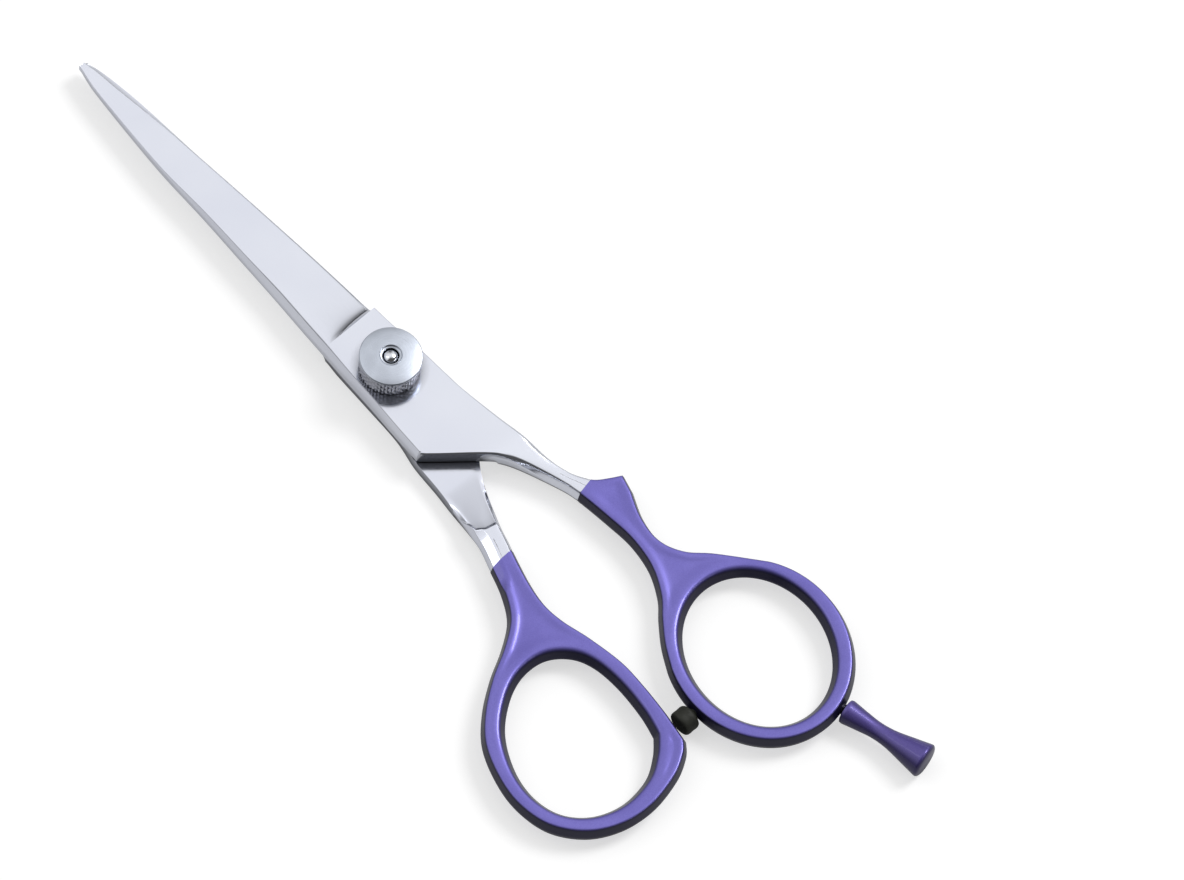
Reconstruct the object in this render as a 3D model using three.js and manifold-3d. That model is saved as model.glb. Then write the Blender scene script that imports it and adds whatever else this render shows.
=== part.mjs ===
// Hairdressing shears, about six inches from tip to ring, lying closed on a table.
// Millimetres. Origin on the pivot axis at the underside, +Y along the blades,
// +X towards the finger ring, +Z up through the tension nut.
import * as THREE from 'three';
import { mergeVertices } from 'three/addons/utils/BufferGeometryUtils.js';
import Module from 'manifold-3d';

const wasm = await Module();
wasm.setup();

// ---- driving dimensions ----
const HALF_THICK = 2.7;          // each steel half at the pivot
const MATE_GAP = 0.2;            // air between the two inner faces
const MID = HALF_THICK + MATE_GAP / 2;
const TOP = 2 * MID;             // top face of the finger half
const STEP_Y = 8.7;              // where the blade grind runs out
const TIP_Y = 67.4;
const TIP_ROUND = 0.7;           // length over which a point is rounded off
const TIP_THICK = 1.0;           // one blade at its point
const EDGE_THICK = 0.25;         // land left along a cutting edge
const RUNOUT_RADIUS = 2.7;       // hollow left by the grinding wheel
const BLADE_ROOT = 0.3;          // overlap of a blade into its plate
const BLADE_PITCH = 4;           // cross-sections along the straight of a blade
const PAINT_Y = -33.3;           // end of the enamel on both handles
const PAINT_GAP = 0.3;
const PLATE_BEVEL = 0.5;
const HANDLE_THICK = 3.6;
const HANDLE_LOW = MID - HANDLE_THICK / 2;
const HANDLE_HIGH = MID + HANDLE_THICK / 2;
const HANDLE_ROUND = 0.75;       // across the face
const HANDLE_ROUND_DEPTH = 1.4;  // down the side
const SHANK_ROUND = 0.7;
const SHANK_ROUND_DEPTH = 1.1;
const SLOPE_START_Y = -19;       // the outer face falls from here to the handle
const SLOPE_END_Y = -31;
const SLOPE_DROP = 1.3;
const HANDLE_END_Y = -110;       // clear past both rings

const SCREW_HEAD_R = 4.2;
const SCREW_HEAD_H = 1.1;
const SCREW_SHANK_R = 2.4;
const SCREW_THREAD_R = 1.3;
const SCREW_TOP = 9.3;
const FIT = 0.25;                // radial air round parts in bores
const NUT_R = 4.75;
const NUT_ROOT_R = 4.45;
const NUT_BASE = TOP + 0.15;
const NUT_RIM_Z = 9.2;
const NUT_CROWN_Z = 9.55;
const NUT_BORE_R = 1.6;
const NUT_TEETH = 40;
const NUT_CHAMFER = 0.3;
const WASHER_R = 4.3;
const SPRING_R = 3.9;
const SPRING_THICK = 0.3;
const SPRING_POCKET = 0.45;
const NYLON_THICK = 0.6;
const NYLON_BORE_R = SCREW_SHANK_R + 0.5;
const SPRING_BORE_R = SCREW_THREAD_R + 0.4;
const SEAT_AIR = 0.1;            // under a washer, and round it in its pocket

const FINGER_HOLE = { x: 10.35, y: -69.2, long: 12.6, short: 10.5, tilt: 78 };
const FINGER_RIM = { x: 10.35, y: -69.5, long: 15.55, short: 13.85, tilt: 78.5 };
const REST_AXIS_START = [13.6, -84.6];
const REST_AXIS_END = [17.0, -98.9];
const REST_BORE_R = 1.15;
const STUD_R = 0.9;
const STUD_IN_RING = 1.7;
const STUD_IN_REST = 2.0;
const NECK_LENGTH = 0.8;
const BUMPER_Y = -70.2;
const BUMPER_SEAT_X = -3.2;
const BUMPER_FACE_X = -6.7;
const BUMPER_R = 2.0;
const BUMPER_STEM_R = 0.9;
const BUMPER_STEM_LENGTH = 1.7;
const BUMPER_NECK_R = 1.3;
const BUMPER_NECK_LENGTH = 0.8;
const BUMPER_AIR = 0.15;         // at both ends of the stop
const BORE_END_AIR = 0.2;        // past the end of a pin in its bore

// ---- plan outlines, mm ----
const FINGER_EDGE = [[0.5, TIP_Y - 0.6], [0.9, 65.2], [1.35, 61.2], [2.4, 52.5], [3.05, 44],
  [3.6, 36], [4.1, 28], [4.5, 21], [4.8, 14], [4.95, STEP_Y - 0.5]];
const FINGER_SPINE = [[-0.6, TIP_Y - 0.6], [-1.2, 65.0], [-1.65, 62.4], [-2.5, 54.5], [-3.2, 46],
  [-3.5, 37], [-4.0, 28], [-4.45, 20], [-4.95, 13], [-5.2, STEP_Y - 0.5]];
const THUMB_EDGE = [[-0.1, TIP_Y - 0.6], [-0.5, 65.2], [-1.0, 61.2], [-2.0, 52.5], [-2.6, 44],
  [-3.1, 36], [-3.6, 28], [-4.0, 21], [-4.4, 14], [-4.6, STEP_Y - 0.5]];
const THUMB_SPINE = [[1.2, TIP_Y - 0.6], [1.75, 65.2], [2.2, 61.8], [2.6, 56.5], [3.0, 46],
  [3.45, 37], [3.85, 29], [4.3, 21], [4.6, 14], [4.8, STEP_Y - 0.5]];
const FINGER_BEVEL = [[0.1, TIP_Y], [0.1, 46], [0.45, 33], [0.8, 20], [0.8, STEP_Y - 0.5]];

const FINGER_PLATE_RIGHT = [[4.95, STEP_Y + 1], [4.95, 6], [5.4, 0], [5.6, -6], [5.8, -10],
  [6.7, -17], [7.4, -21], [8.0, -25], [8.8, -28.5], [9.5, -30.8], [11.0, PAINT_Y - 1]];
const FINGER_PLATE_INNER = [[7.1, PAINT_Y - 1], [6.4, -30.4], [4.5, -25.1], [2.9, -21.8],
  [0.9, -19.6], [-4.2, -15.2], [-5.6, -14.0]];
const FINGER_PLATE_LEFT = [[-6.5, -13.2], [-6.2, -7.6], [-5.8, -2], [-5.5, 5], [-5.15, STEP_Y + 1]];
const FINGER_SHANK_RIGHT = [[13.8, PAINT_Y - 5], [10.9, PAINT_Y + 0.7], [9.6, -30.2],
  [8.8, -27], [8.1, -24], [7.3, -20.5], [6.2, -15]];
const FINGER_SHANK_LEFT = [[-0.6, -15], [1.4, -20.2], [2.9, -22.0], [4.5, -25.1], [6.4, -30.4],
  [7.1, PAINT_Y], [8.0, PAINT_Y - 5]];
const FINGER_LOW_ZONE = [[9, -18.6], [6.4, -19.0], [3.6, -19.8], [1.5, -21.3], [-1, -24],
  [-1, -40], [14, -40], [14, -18.6]];

const THUMB_PLATE_RIGHT = [[4.8, STEP_Y + 1], [5.0, 5], [5.2, -2], [5.4, -8], [5.2, -13.0]];
const THUMB_PLATE_INNER = [[4.0, -15.2], [1.7, -17.8], [-0.4, -20.6], [-2.2, -23.9],
  [-3.7, -27.5], [-4.5, -29.6], [-6.0, PAINT_Y - 1]];
const THUMB_PLATE_LEFT = [[-10.6, PAINT_Y - 1], [-9.2, -29.9], [-7.7, -22.5], [-7.1, -18.6],
  [-6.6, -13], [-5.6, -8], [-5.2, -1], [-4.9, 6], [-4.6, STEP_Y + 1]];
const THUMB_SHANK_LEFT = [[-12.3, PAINT_Y - 5], [-10.4, PAINT_Y], [-9.2, -29.9],
  [-8.2, -25.5], [-7.3, -19]];
const THUMB_SHANK_RIGHT = [[-0.2, -19], [-2.5, -24.6], [-3.7, -27.5], [-4.5, -29.6],
  [-5.1, -31.6], [-5.7, PAINT_Y], [-7.3, PAINT_Y - 5]];
const THUMB_HIGH_ZONE = [[-10, -23.2], [-8.05, -24.6], [-7.6, -27.3], [-6.6, -28.1],
  [-4.3, -28.6], [-2, -28.8], [-2, -40], [-15, -40], [-15, -23.2]];

const HORN_TIP = [15.0, -35.2];
const HORN_TOP = [[9.0, -28.8], [10.9, PAINT_Y + 0.7], [12.7, -33.8]];
const FINGER_NECK_RIGHT = [[14.0, -38.2], [12.2, -42.4], [11.7, -46.6], [13.2, -50.2],
  [16.4, -53.5]];
const FINGER_NECK_LEFT = [[0.1, -59.3], [2.6, -56.0], [5.0, -53.2], [7.1, -49.0],
  [7.95, -44.0], [7.7, -39], [7.0, PAINT_Y], [6.1, -28.8]];
const THUMB_OUTER = [[-9.0, -28.8], [-10.4, PAINT_Y], [-11.9, -37.4], [-14.2, -41.2], [-18.0, -44.0],
  [-22.6, -46.5], [-27.2, -49.8], [-30.8, -53.8], [-33.0, -59.2], [-33.8, -64.5],
  [-32.6, -70.1], [-29.0, -74.7], [-24.0, -77.3], [-18.5, -77.9], [-12.8, -76.7],
  [-9.2, -74.8], [-7.55, -73.0]];
const THUMB_INNER_SIDE = [[-6.6, -67.7], [-6.05, -62.5], [-5.9, -57.5], [-6.8, -51.5],
  [-7.9, -46.8], [-8.15, -43.0], [-7.4, -38.8], [-5.7, PAINT_Y], [-4.1, -28.8]];
const THUMB_HOLE = [[-10.7, -69.3], [-9.75, -65.5], [-9.2, -60], [-9.6, -55.2], [-11.2, -51.8],
  [-14.4, -49.5], [-18.6, -49.3], [-22.7, -51.0], [-26.8, -54.5], [-29.6, -59.6],
  [-30.5, -64.6], [-29.4, -69.2], [-26.2, -72.6], [-21.5, -74.2], [-16.4, -73.6],
  [-12.9, -71.5]];

const COLORS = {
  steel: [0xd9dde4, 0.16, 1.0],
  enamel: [0x6f63b0, 0.22, 0.35],
  darkSteel: [0x55585e, 0.35, 1.0],
  nylon: [0xe9e6dc, 0.6, 0.0],
  rubber: [0x23241f, 0.8, 0.0],
};

const group = new THREE.Group();
group.name = 'hair_shears';

// ---- helpers ----
function addNode(name, geometry, finish) {
  const [color, roughness, metalness] = COLORS[finish];
  const material = new THREE.MeshStandardMaterial({ color, roughness, metalness });
  const mesh = new THREE.Mesh(geometry, material);
  mesh.name = name;
  group.add(mesh);
}

function toSolid(geometry) {
  const bare = new THREE.BufferGeometry();
  bare.setAttribute('position', geometry.getAttribute('position').clone());
  if (geometry.index) bare.setIndex(geometry.index.clone());
  const merged = mergeVertices(bare, 1e-4);
  return new wasm.Manifold(new wasm.Mesh({
    numProp: 3,
    vertProperties: new Float32Array(merged.getAttribute('position').array),
    triVerts: new Uint32Array(merged.index.array),
  }));
}

function toGeometry(solid) {
  const mesh = solid.getMesh();
  const geometry = new THREE.BufferGeometry();
  geometry.setAttribute('position', new THREE.BufferAttribute(mesh.vertProperties, mesh.numProp));
  geometry.setIndex(new THREE.BufferAttribute(mesh.triVerts, 1));
  geometry.computeVertexNormals();
  return geometry;
}

// spline through the inner points, with the two end points joined by straight runs
function stemSide(points, steps) {
  const last = points.length - 1;
  return [
    new THREE.Vector2(...points[0]),
    ...smooth(points.slice(1, last), steps),
    new THREE.Vector2(...points[last]),
  ];
}

function smooth(points, steps) {
  const curve = new THREE.SplineCurve(points.map(([x, y]) => new THREE.Vector2(x, y)));
  return curve.getPoints(steps * (points.length - 1));
}

// x of a spline that runs along Y, at a given y
function xAt(points, y) {
  const line = smooth(points, 12);
  const rising = line[0].y < line[line.length - 1].y;
  const run = rising ? line : line.reverse();
  if (y <= run[0].y) return run[0].x;
  for (let i = 1; i < run.length; i += 1) {
    if (y <= run[i].y) {
      const t = (y - run[i - 1].y) / (run[i].y - run[i - 1].y);
      return run[i - 1].x + t * (run[i].x - run[i - 1].x);
    }
  }
  return run[run.length - 1].x;
}

function ellipseArc(spec, fromDeg, toDeg, count) {
  const tilt = THREE.MathUtils.degToRad(spec.tilt);
  const points = [];
  for (let i = 0; i <= count; i += 1) {
    const a = THREE.MathUtils.degToRad(fromDeg + ((toDeg - fromDeg) * i) / count);
    const u = spec.long * Math.cos(a);
    const v = spec.short * Math.sin(a);
    points.push(new THREE.Vector2(
      spec.x + u * Math.cos(tilt) - v * Math.sin(tilt),
      spec.y + u * Math.sin(tilt) + v * Math.cos(tilt),
    ));
  }
  return points;
}

function closedShape(points, holes = []) {
  const shape = new THREE.Shape(points);
  holes.forEach((hole) => shape.holes.push(new THREE.Path(hole)));
  return shape;
}

// a plate with rounded rims, between two heights
function roundedPlate(shape, zLow, zHigh, round, roundDepth, segments) {
  const geometry = new THREE.ExtrudeGeometry(shape, {
    depth: zHigh - zLow - 2 * roundDepth,
    bevelEnabled: true,
    bevelSize: round,
    bevelThickness: roundDepth,
    bevelOffset: -round,
    bevelSegments: segments,
    curveSegments: 1,
    steps: 1,
  });
  geometry.translate(0, 0, zLow + roundDepth);
  return geometry;
}

// prism across X from a (y, z) outline
function sideProfile(outline, xLow = -40, xHigh = 30) {
  const shape = new THREE.Shape(outline.map(([y, z]) => new THREE.Vector2(y, z)));
  const geometry = new THREE.ExtrudeGeometry(shape, { depth: xHigh - xLow, bevelEnabled: false });
  geometry.rotateX(Math.PI / 2);
  geometry.rotateZ(Math.PI / 2);
  geometry.translate(xLow, 0, 0);
  return toSolid(geometry);
}

function rod(radius, zLow, zHigh, segments) {
  const geometry = new THREE.CylinderGeometry(radius, radius, zHigh - zLow, segments);
  geometry.rotateX(Math.PI / 2);
  geometry.translate(0, 0, (zLow + zHigh) / 2);
  return toSolid(geometry);
}

// revolve an (r, along) profile about +Z
function turned(profile, segments) {
  const points = profile.map(([r, z]) => new THREE.Vector2(r, z));
  const geometry = new THREE.LatheGeometry(points, segments);
  geometry.rotateX(Math.PI / 2);
  return geometry;
}

// lay a turned piece down along a direction in plan
function layAlong(geometry, start, angle, z) {
  geometry.rotateY(Math.PI / 2);
  geometry.rotateZ(angle);
  geometry.translate(start[0], start[1], z);
  return geometry;
}

// closed skin through cross-sections of equal point count
function loft(sections) {
  const size = sections[0].length;
  const positions = sections.flat(2);
  const index = [];
  for (let s = 0; s < sections.length - 1; s += 1) {
    for (let i = 0; i < size; i += 1) {
      const a = s * size + i;
      const b = s * size + ((i + 1) % size);
      index.push(a, a + size, b, b, a + size, b + size);
    }
  }
  const last = (sections.length - 1) * size;
  for (let i = 1; i < size - 1; i += 1) {
    index.push(0, i, i + 1);
    index.push(last, last + i + 1, last + i);
  }
  const geometry = new THREE.BufferGeometry();
  geometry.setAttribute('position', new THREE.Float32BufferAttribute(positions, 3));
  geometry.setIndex(index);
  return geometry;
}

// ---- blades ----
// how deep the grind lies under the outer face, hollow where it runs out
function runoutDepth(y) {
  const full = HALF_THICK - EDGE_THICK;
  const reach = Math.sqrt(RUNOUT_RADIUS ** 2 - (RUNOUT_RADIUS - full) ** 2);
  const left = STEP_Y + reach - y;
  if (left <= 0) return full;
  return full - (RUNOUT_RADIUS - Math.sqrt(Math.max(RUNOUT_RADIUS ** 2 - left ** 2, 0)));
}

function bladeStations() {
  const stations = [STEP_Y - BLADE_ROOT];
  for (let i = 0; i <= 6; i += 1) {
    stations.push(STEP_Y + 0.01 + RUNOUT_RADIUS * (i / 6) ** 1.6);
  }
  for (let y = 15; y < TIP_Y - BLADE_PITCH; y += BLADE_PITCH) stations.push(y);
  [TIP_Y - 3.4, TIP_Y - 1.8].forEach((y) => stations.push(y));
  [1, 0.6, 0.3, 0.1, 0].forEach((t) => stations.push(TIP_Y - t * TIP_ROUND));
  return stations;
}

// cross-section of a blade at y: inner face, cutting edge land, ground face, back bevel, back
function bladeSection(y, edgeLine, spineLine, up) {
  const inTip = Math.max(y - (TIP_Y - TIP_ROUND), 0) / TIP_ROUND;
  const squeeze = 0.5 + 0.5 * Math.sqrt(Math.max(1 - inTip ** 2, 0));
  const along = (y - STEP_Y) / (TIP_Y - STEP_Y);
  const thick = THREE.MathUtils.lerp(HALF_THICK, TIP_THICK, Math.max(along, 0)) * squeeze;
  const centre = (xAt(edgeLine, y) + xAt(spineLine, y)) / 2;
  const edge = centre + (xAt(edgeLine, y) - centre) * squeeze;
  const spine = centre + (xAt(spineLine, y) - centre) * squeeze;
  const side = Math.sign(edge - spine);
  const bevel = Math.min(xAt(FINGER_BEVEL, y), Math.abs(edge - spine) / 3);
  const land = y <= STEP_Y ? thick : Math.max(HALF_THICK - runoutDepth(y), EDGE_THICK);
  const z = (d) => (up ? MID + MATE_GAP / 2 + d : MID - MATE_GAP / 2 - d);
  return [
    [spine, y, z(0)],
    [edge, y, z(0)],
    [edge, y, z(Math.min(land, thick * 0.98))],
    [spine + side * bevel, y, z(thick)],
    [spine, y, z(thick - 0.8 * bevel)],
  ];
}

// both halves wind the same way: mirrored once for the side and once for the layer
function blade(edgeLine, spineLine, up) {
  return toSolid(loft(bladeStations().map((y) => bladeSection(y, edgeLine, spineLine, up))));
}

// prism straight up through the part from a plan outline
function zonePrism(outline) {
  const shape = new THREE.Shape(outline.map(([x, y]) => new THREE.Vector2(x, y)));
  const geometry = new THREE.ExtrudeGeometry(shape, { depth: TOP + 2, bevelEnabled: false });
  return toSolid(geometry.translate(0, 0, -1));
}

// slab across the whole width between two values of y
function slab(yFrom, yTo) {
  return sideProfile([[yFrom, -1], [yFrom, TOP + 1], [yTo, TOP + 1], [yTo, -1]]);
}

// the stem that carries a handle: full handle thickness once it leaves the inner face
function shank(right, left, zone) {
  const outline = closedShape([...stemSide(right, 3), ...stemSide(left, 3)]);
  const stem = roundedPlate(outline, HANDLE_LOW, HANDLE_HIGH, SHANK_ROUND, SHANK_ROUND_DEPTH, 3);
  return toSolid(stem)
    .intersect(zonePrism(zone))
    .intersect(slab(0, PAINT_Y + PAINT_GAP / 2));
}

function fingerBlade() {
  const plate = roundedPlate(closedShape([
    ...smooth(FINGER_PLATE_RIGHT, 3),
    ...smooth(FINGER_PLATE_INNER, 3),
    ...smooth(FINGER_PLATE_LEFT, 3),
  ]), MID - 1, TOP, PLATE_BEVEL, PLATE_BEVEL, 2);
  const layer = sideProfile([
    [STEP_Y, MID + MATE_GAP / 2], [STEP_Y, TOP + 1], [SLOPE_START_Y, TOP + 1],
    [SLOPE_START_Y, TOP], [SLOPE_END_Y, TOP - SLOPE_DROP], [SLOPE_END_Y, MID + MATE_GAP / 2],
  ]);
  const stem = shank(FINGER_SHANK_RIGHT, FINGER_SHANK_LEFT, FINGER_LOW_ZONE);
  const body = toSolid(plate).intersect(layer)
    .add(stem)
    .add(blade(FINGER_EDGE, FINGER_SPINE, true));
  const bored = body
    .subtract(rod(SCREW_SHANK_R + FIT, 0, TOP + 1, 48))
    .subtract(rod(WASHER_R + FIT, MID - 1, MID + NYLON_THICK / 2 + SEAT_AIR, 48))
    .subtract(rod(SPRING_R + FIT, TOP - SPRING_POCKET, TOP + 1, 48));
  addNode('finger_blade', toGeometry(bored), 'steel');
}

function thumbBlade() {
  const plate = roundedPlate(closedShape([
    ...smooth(THUMB_PLATE_RIGHT, 3),
    ...smooth(THUMB_PLATE_INNER, 3),
    ...smooth(THUMB_PLATE_LEFT, 3),
  ]), 0, MID + 1, PLATE_BEVEL, PLATE_BEVEL, 2);
  const layer = sideProfile([
    [STEP_Y, MID - MATE_GAP / 2], [STEP_Y, -1], [SLOPE_START_Y, -1],
    [SLOPE_START_Y, 0], [SLOPE_END_Y, SLOPE_DROP], [SLOPE_END_Y, MID - MATE_GAP / 2],
  ]);
  const stem = shank(THUMB_SHANK_LEFT, THUMB_SHANK_RIGHT, THUMB_HIGH_ZONE);
  const body = toSolid(plate).intersect(layer)
    .add(stem)
    .add(blade(THUMB_EDGE, THUMB_SPINE, false));
  const bored = body
    .subtract(rod(SCREW_SHANK_R + FIT, -1, TOP, 48))
    .subtract(rod(WASHER_R + FIT, MID - NYLON_THICK / 2 - SEAT_AIR, MID + 1, 48))
    .subtract(rod(SCREW_HEAD_R + FIT, -1, SCREW_HEAD_H + 0.15, 48));
  addNode('thumb_blade', toGeometry(bored), 'steel');
}

// ---- handles ----
function fingerRingArc() {
  // round the outside of the ring, from the thumb-side flank under the hole to the far flank
  return ellipseArc(FINGER_RIM, -40, -285, 44);
}

function restAngle() {
  return Math.atan2(REST_AXIS_END[1] - REST_AXIS_START[1], REST_AXIS_END[0] - REST_AXIS_START[0]);
}

function fingerHandle() {
  const arc = fingerRingArc();
  const start = [arc[0].x, arc[0].y];
  const finish = [arc[arc.length - 1].x, arc[arc.length - 1].y];
  const outer = [
    ...smooth([...HORN_TOP, HORN_TIP], 1),
    ...smooth([...FINGER_NECK_RIGHT, start], 3),
    ...arc.slice(1),
    ...stemSide([finish, finish, ...FINGER_NECK_LEFT], 3).slice(2),
  ];
  const hole = ellipseArc(FINGER_HOLE, 0, 360, 56).slice(0, -1);
  const plate = roundedPlate(
    closedShape(outer, [hole]),
    HANDLE_LOW,
    HANDLE_HIGH,
    HANDLE_ROUND,
    HANDLE_ROUND_DEPTH,
    3,
  );
  const studBore = layAlong(
    turned([[0, -STUD_IN_RING - BORE_END_AIR], [STUD_R + FIT, -STUD_IN_RING - BORE_END_AIR],
      [STUD_R + FIT, 3], [0, 3]], 24),
    REST_AXIS_START,
    restAngle(),
    MID,
  );
  const stemBore = layAlong(
    turned([[0, -BUMPER_STEM_LENGTH - BORE_END_AIR],
      [BUMPER_STEM_R + FIT, -BUMPER_STEM_LENGTH - BORE_END_AIR],
      [BUMPER_STEM_R + FIT, 0], [BUMPER_R + FIT, 0], [BUMPER_R + FIT, 3], [0, 3]], 24),
    [BUMPER_SEAT_X, BUMPER_Y],
    Math.PI,
    MID,
  );
  const body = toSolid(plate)
    .intersect(slab(PAINT_Y - PAINT_GAP / 2, HANDLE_END_Y))
    .subtract(toSolid(studBore))
    .subtract(toSolid(stemBore));
  addNode('finger_handle', toGeometry(body), 'enamel');
}

function thumbHandle() {
  const outer = [
    ...smooth(THUMB_OUTER.slice(0, 2), 1),
    ...smooth(THUMB_OUTER.slice(1), 3).slice(1),
    ...smooth(THUMB_INNER_SIDE.slice(0, -1), 3),
    ...smooth(THUMB_INNER_SIDE.slice(-2), 1).slice(1),
  ];
  const hole = smooth(THUMB_HOLE, 3);
  const plate = roundedPlate(
    closedShape(outer, [hole]),
    HANDLE_LOW,
    HANDLE_HIGH,
    HANDLE_ROUND,
    HANDLE_ROUND_DEPTH,
    3,
  );
  const body = toSolid(plate).intersect(slab(PAINT_Y - PAINT_GAP / 2, HANDLE_END_Y));
  addNode('thumb_handle', toGeometry(body), 'enamel');
}

// ---- pivot hardware ----
function pivotScrew() {
  const dome = [];
  for (let i = 0; i <= 6; i += 1) {
    const a = (i / 6) * (Math.PI / 2);
    dome.push([SCREW_THREAD_R * Math.cos(a), SCREW_TOP + SCREW_THREAD_R * 0.6 * Math.sin(a)]);
  }
  dome[dome.length - 1][0] = 0;
  addNode('pivot_screw', turned([
    [0, 0], [SCREW_HEAD_R, 0], [SCREW_HEAD_R, SCREW_HEAD_H], [SCREW_SHANK_R, SCREW_HEAD_H],
    [SCREW_SHANK_R, TOP - SPRING_POCKET], [SCREW_THREAD_R, TOP - SPRING_POCKET], ...dome,
  ], 48), 'darkSteel');
}

function thumbNut() {
  const rim = [];
  for (let i = 0; i < NUT_TEETH * 2; i += 1) {
    const a = (i / (NUT_TEETH * 2)) * Math.PI * 2;
    const r = i % 2 ? NUT_ROOT_R : NUT_R;
    rim.push(new THREE.Vector2(r * Math.cos(a), r * Math.sin(a)));
  }
  const barrel = toSolid(new THREE.ExtrudeGeometry(new THREE.Shape(rim), {
    depth: NUT_CROWN_Z - NUT_BASE,
    bevelEnabled: false,
  }).translate(0, 0, NUT_BASE));
  const envelope = toSolid(turned([
    [0, NUT_BASE], [NUT_R - NUT_CHAMFER, NUT_BASE], [NUT_R + 0.05, NUT_BASE + NUT_CHAMFER],
    [NUT_R + 0.05, NUT_RIM_Z - NUT_CHAMFER], [NUT_R - NUT_CHAMFER, NUT_RIM_Z],
    [NUT_BORE_R, NUT_CROWN_Z], [0, NUT_CROWN_Z],
  ], 64));
  const nut = barrel.intersect(envelope).subtract(rod(NUT_BORE_R, 0, 12, 40));
  addNode('thumb_nut', toGeometry(nut), 'steel');
}

function ringNode(name, inner, outer, zLow, zHigh, finish) {
  addNode(name, turned([
    [inner, zLow], [outer, zLow], [outer, zHigh], [inner, zHigh], [inner, zLow],
  ], 48), finish);
}

function washers() {
  const springZ = TOP - SPRING_POCKET + SEAT_AIR;
  ringNode('pivot_washer', NYLON_BORE_R, WASHER_R, MID - NYLON_THICK / 2,
    MID + NYLON_THICK / 2, 'nylon');
  ringNode('spring_washer', SPRING_BORE_R, SPRING_R, springZ, springZ + SPRING_THICK,
    'darkSteel');
}

// ---- rubber stop between the rings ----
function bumper() {
  const length = BUMPER_SEAT_X - BUMPER_FACE_X;
  const geometry = turned([
    [0, -BUMPER_STEM_LENGTH], [BUMPER_STEM_R, -BUMPER_STEM_LENGTH], [BUMPER_STEM_R, BUMPER_AIR],
    [BUMPER_NECK_R, BUMPER_AIR], [BUMPER_NECK_R, BUMPER_NECK_LENGTH],
    [BUMPER_R, BUMPER_NECK_LENGTH + 0.4], [BUMPER_R, length - 0.5],
    [BUMPER_R - 0.4, length - BUMPER_AIR], [0, length - BUMPER_AIR],
  ], 32);
  addNode('bumper', layAlong(geometry, [BUMPER_SEAT_X, BUMPER_Y], Math.PI, MID), 'rubber');
}

// ---- screw-in finger rest ----
function fingerRest() {
  const length = Math.hypot(
    REST_AXIS_END[0] - REST_AXIS_START[0],
    REST_AXIS_END[1] - REST_AXIS_START[1],
  );
  const waist = new THREE.SplineCurve([
    [1.95, NECK_LENGTH + 0.4], [1.62, 3.0], [1.35, 5.6], [1.5, 8.2], [2.15, 11.4],
    [2.7, length - 0.7],
  ].map(([r, t]) => new THREE.Vector2(r, t))).getPoints(18).map((p) => [p.x, p.y]);
  const geometry = turned([
    [0, NECK_LENGTH + STUD_IN_REST + BORE_END_AIR],
    [REST_BORE_R, NECK_LENGTH + STUD_IN_REST + BORE_END_AIR],
    [REST_BORE_R, NECK_LENGTH], [1.75, NECK_LENGTH], ...waist, [2.35, length], [0, length],
  ], 36);
  addNode('finger_rest', layAlong(geometry, REST_AXIS_START, restAngle(), MID), 'enamel');
  const stud = turned([
    [0, -STUD_IN_RING], [STUD_R, -STUD_IN_RING], [STUD_R, NECK_LENGTH + STUD_IN_REST],
    [0, NECK_LENGTH + STUD_IN_REST],
  ], 24);
  addNode('finger_rest_stud', layAlong(stud, REST_AXIS_START, restAngle(), MID), 'darkSteel');
}

fingerBlade();
thumbBlade();
fingerHandle();
thumbHandle();
pivotScrew();
thumbNut();
washers();
bumper();
fingerRest();

export default group;
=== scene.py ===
import math
from types import SimpleNamespace

import bmesh
import bpy
import numpy as np
from mathutils import Matrix, Vector
from mathutils.geometry import delaunay_2d_cdt


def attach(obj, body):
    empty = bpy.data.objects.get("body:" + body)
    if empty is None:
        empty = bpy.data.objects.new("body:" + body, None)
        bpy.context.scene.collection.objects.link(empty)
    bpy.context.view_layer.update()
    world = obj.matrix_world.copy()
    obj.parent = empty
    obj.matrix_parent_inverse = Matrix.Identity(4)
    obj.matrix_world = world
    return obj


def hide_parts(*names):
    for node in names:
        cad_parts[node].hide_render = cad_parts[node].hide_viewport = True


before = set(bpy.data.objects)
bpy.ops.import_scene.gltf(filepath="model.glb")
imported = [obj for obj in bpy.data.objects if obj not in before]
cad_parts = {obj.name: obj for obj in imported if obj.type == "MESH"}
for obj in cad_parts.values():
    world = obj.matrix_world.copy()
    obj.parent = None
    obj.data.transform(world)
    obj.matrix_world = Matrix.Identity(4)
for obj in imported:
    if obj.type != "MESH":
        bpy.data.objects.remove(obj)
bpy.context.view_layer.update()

# Everything below is drawn in millimetres and scaled as a mesh is made.
MM = 0.001
MID = 2.8            # plane between the two halves
GAP = 0.1            # from that plane to each inner face
HALF = 2.7           # thickness of a half at the pivot
STEP_Y = 8.7         # where the blade grind runs out
RUNOUT = 3.6         # length of the hollow where the grinding wheel lifted
TIP_Y = 67.4         # where the points end
TIP_ROUND = 0.35     # length over which a point is rounded in plan
TIP_WIDTH = 0.8      # share of its width left at the very end of a point
TIP_THICK = 1.0
EDGE_LAND = 0.14     # flat left on a cutting edge
EDGE_BREAK = 0.12    # width of the broken corner along a cutting edge
GRIND_SLOPE = 0.28   # most the grind falls per millimetre across the blade
INNER_HOLLOW = 0.1   # depth of the hollow in a blade's inner face
SHOULDER_Y = -17.0   # past this the inner faces rise to the stems
LAND_CLIMB_Y = -19.5  # past this the thumb half's land climbs towards its stem
STEM_Y = -20.5       # past this the bevels turn into the rounded rim of the handle
HANDLE_HALF = 1.8    # half the thickness of stem and handle
RIM = 0.85           # width of the rounded rim of a handle
HOLE_RIM = 0.6       # steepness of a finger hole's rim against that of the outline
PARTING = 0.1        # half height of the band left at the mid plane
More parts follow.
